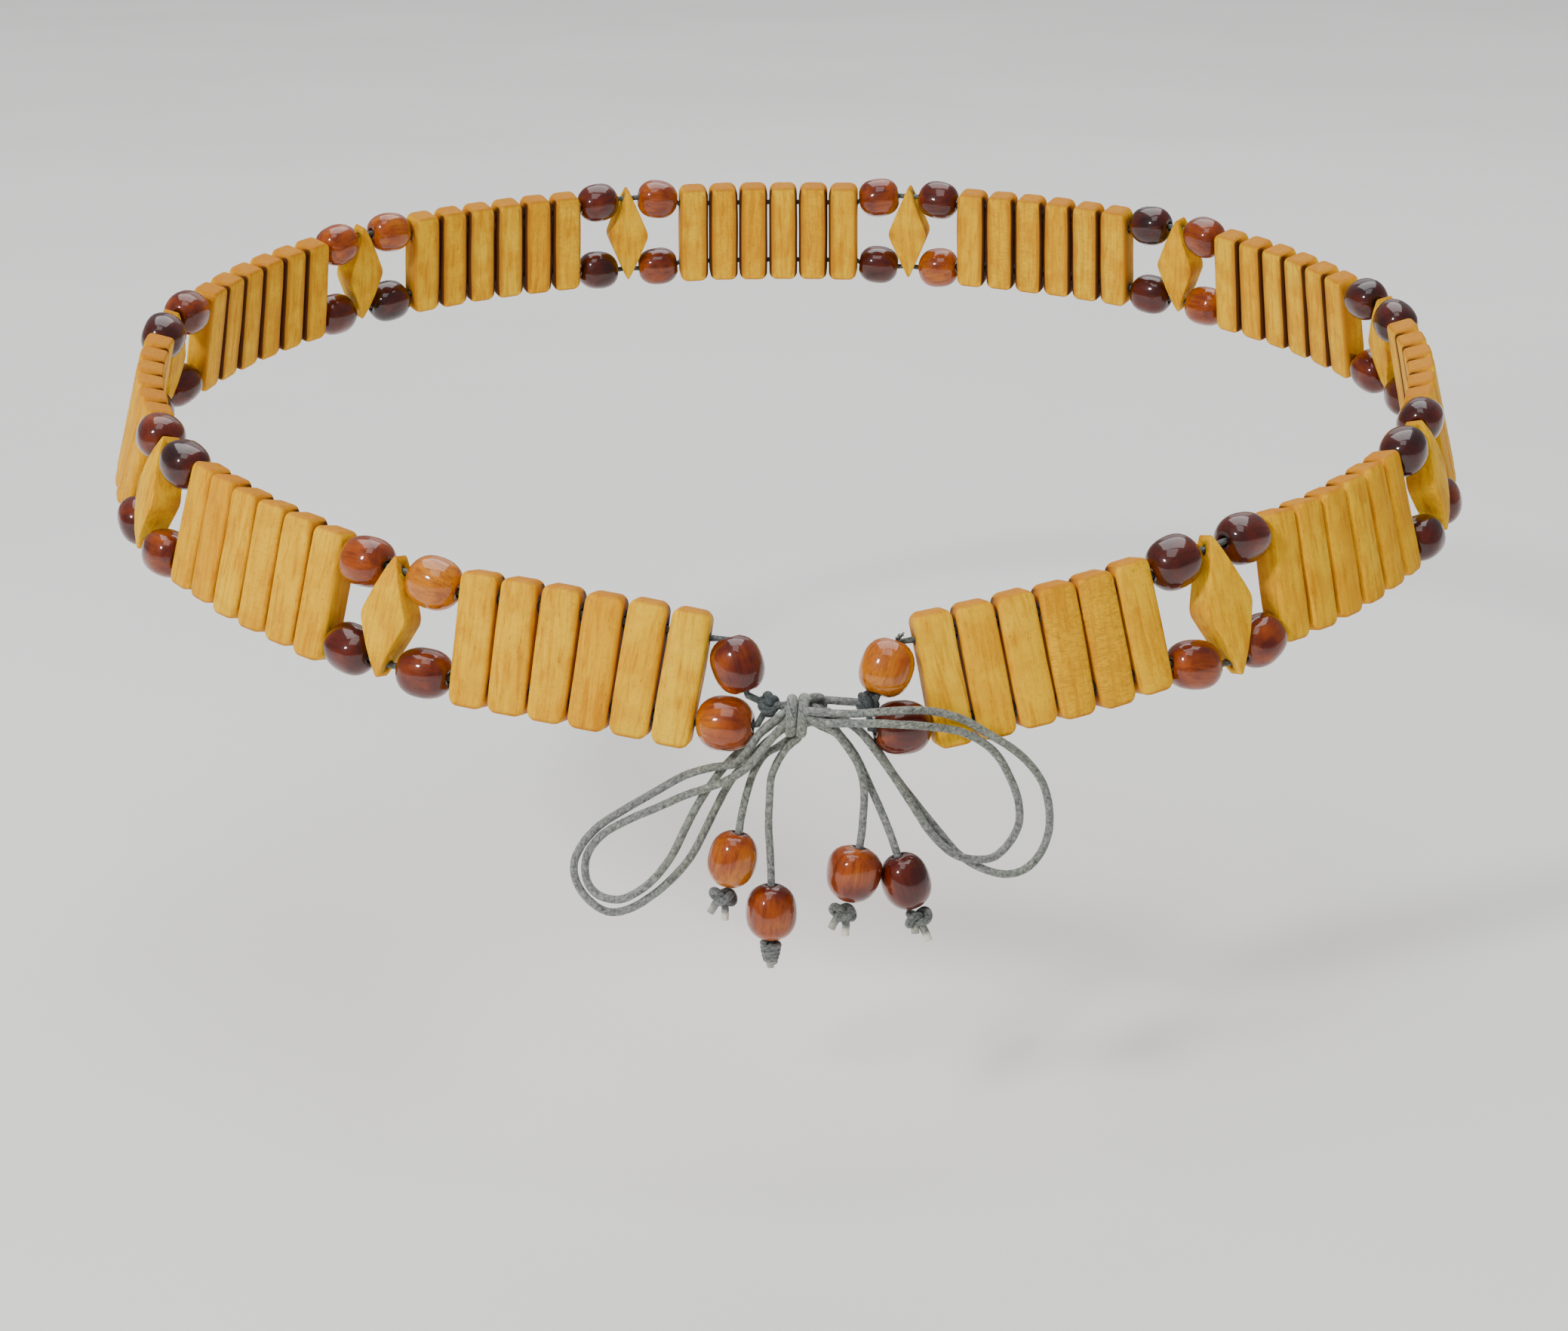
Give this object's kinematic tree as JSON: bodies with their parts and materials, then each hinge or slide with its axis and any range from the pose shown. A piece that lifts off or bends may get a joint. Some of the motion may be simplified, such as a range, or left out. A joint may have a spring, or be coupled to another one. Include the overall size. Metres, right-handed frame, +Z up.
{
  "type": "beaded tie belt",
  "caption": "Loop belt of flat wooden bars, rhombus links and round varnished beads on two threads, tied in front in a bow with beaded cord tails.",
  "frame": {"origin": "centre of the waist opening, level with the middle of the belt's path between its low front and high back", "axes": "+Z up along the wearer, -Y towards the front where the bow is, +X to the viewer's right; longest extent along X"},
  "size_m": [0.3031, 0.2716, 0.11],
  "materials": {
    "yellow_wood": "satin mustard-yellow stained wood",
    "varnished_wood": "glossy red-brown varnish",
    "waxed_cord": "mottled grey waxed cotton"
  },
  "bodies": {
    "root": {"back_string_left": "yellow_wood", "back_string_right": "yellow_wood", "bar_left_1_1": "yellow_wood", "bar_left_1_2": "yellow_wood", "bar_left_1_3": "yellow_wood", "bar_left_1_4": "yellow_wood", "bar_left_1_5": "yellow_wood", "bar_left_1_6": "yellow_wood", "bar_left_2_1": "yellow_wood", "bar_left_2_2": "yellow_wood", "bar_left_2_3": "yellow_wood", "bar_left_2_4": "yellow_wood", "bar_left_2_5": "yellow_wood", "bar_left_2_6": "yellow_wood", "bar_right_1_1": "yellow_wood", "bar_right_1_2": "yellow_wood", "bar_right_1_3": "yellow_wood", "bar_right_1_4": "yellow_wood", "bar_right_1_5": "yellow_wood", "bar_right_1_6": "yellow_wood", "bar_right_2_1": "yellow_wood", "bar_right_2_2": "yellow_wood", "bar_right_2_3": "yellow_wood", "bar_right_2_4": "yellow_wood", "bar_right_2_5": "yellow_wood", "bar_right_2_6": "yellow_wood", "bow_knot": "waxed_cord", "cord_loop_left_inner": "waxed_cord", "cord_loop_left_outer": "waxed_cord", "cord_loop_right_inner": "waxed_cord", "cord_loop_right_outer": "waxed_cord", "cord_tail_left_inner": "waxed_cord", "cord_tail_left_outer": "waxed_cord", "cord_tail_right_inner": "waxed_cord", "cord_tail_right_outer": "waxed_cord", "end_bead_left_lower": "varnished_wood", "end_bead_left_upper": "varnished_wood", "end_bead_right_lower": "varnished_wood", "end_bead_right_upper": "varnished_wood", "link_bead_left_lower_1": "varnished_wood", "link_bead_left_lower_2": "varnished_wood", "link_bead_left_upper_1": "varnished_wood", "link_bead_left_upper_2": "varnished_wood", "link_bead_right_lower_1": "varnished_wood", "link_bead_right_lower_2": "varnished_wood", "link_bead_right_upper_1": "varnished_wood", "link_bead_right_upper_2": "varnished_wood", "rhombus_left": "yellow_wood", "rhombus_right": "yellow_wood", "stop_knot_left_inner": "waxed_cord", "stop_knot_left_outer": "waxed_cord", "stop_knot_right_inner": "waxed_cord", "stop_knot_right_outer": "waxed_cord", "tail_bead_left_inner": "varnished_wood", "tail_bead_left_outer": "varnished_wood", "tail_bead_right_inner": "varnished_wood", "tail_bead_right_outer": "varnished_wood", "thread_left": "waxed_cord", "thread_right": "waxed_cord"}
  },
  "joints": []
}
